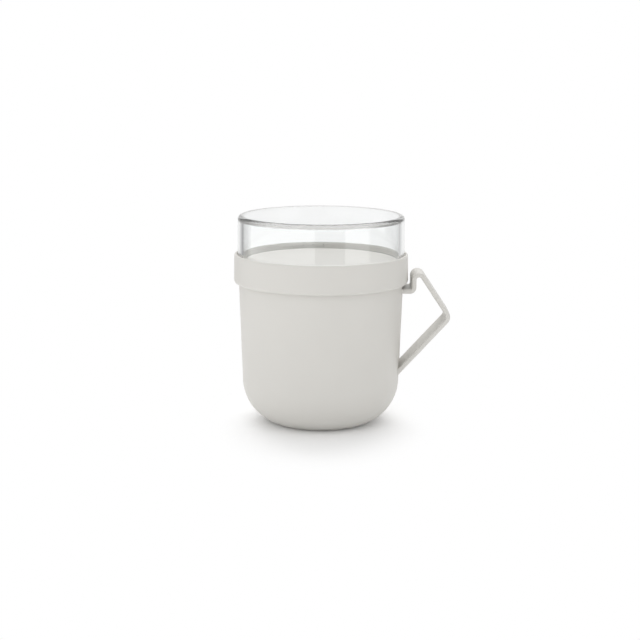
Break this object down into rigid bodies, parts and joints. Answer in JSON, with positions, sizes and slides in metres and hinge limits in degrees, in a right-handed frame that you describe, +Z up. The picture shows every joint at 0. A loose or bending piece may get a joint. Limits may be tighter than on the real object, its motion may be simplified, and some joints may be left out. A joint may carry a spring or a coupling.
{
  "type": "soup mug",
  "caption": "Soup mug with a rounded bottom, a pointed band handle, a sealed screw lid and a clear screw-in topping cup upside down on top.",
  "frame": {"origin": "centre of the standing ring, on the surface that the mug stands on", "axes": "+Z up along the mug's axis, +X towards the handle, +Y to the left of a person who looks along +X"},
  "size_m": [0.1328, 0.1072, 0.1286],
  "materials": {
    "mug_plastic": "fine satin moulded plastic, light grey",
    "lid_plastic": "fine satin moulded plastic, light grey",
    "clear_plastic": "clear, polished",
    "seal_silicone": "soft matt silicone"
  },
  "bodies": {
    "mug": {"mug_body": "mug_plastic", "handle": "mug_plastic"},
    "lid_seal": {"lid_seal": "seal_silicone"},
    "lid": {"screw_lid": "lid_plastic"},
    "cup_seal": {"cup_seal": "seal_silicone"},
    "topping_cup": {"clear_cup": "clear_plastic"}
  },
  "joints": [
    {"name": "lid_lift", "type": "slide", "parent": "mug", "child": "lid_seal", "axis": [0, 0, 1], "range_m": [0, 0.012]},
    {"name": "lid_turn", "type": "hinge", "parent": "lid_seal", "child": "lid", "pos_m": [0, 0, 0.0965], "axis": [0, 0, 1], "range_deg": [0, 240]},
    {"name": "cup_turn", "type": "hinge", "parent": "lid", "child": "cup_seal", "pos_m": [0, 0, 0.101], "axis": [0, 0, 1], "range_deg": [0, 240]},
    {"name": "cup_lift", "type": "slide", "parent": "cup_seal", "child": "topping_cup", "axis": [0, 0, 1], "range_m": [0, 0.006]}
  ],
  "couplings": [
    {"joint": "lid_lift", "follows": "lid_turn", "m_per_rad": 0.0028648},
    {"joint": "cup_lift", "follows": "cup_turn", "m_per_rad": 0.0014324}
  ]
}
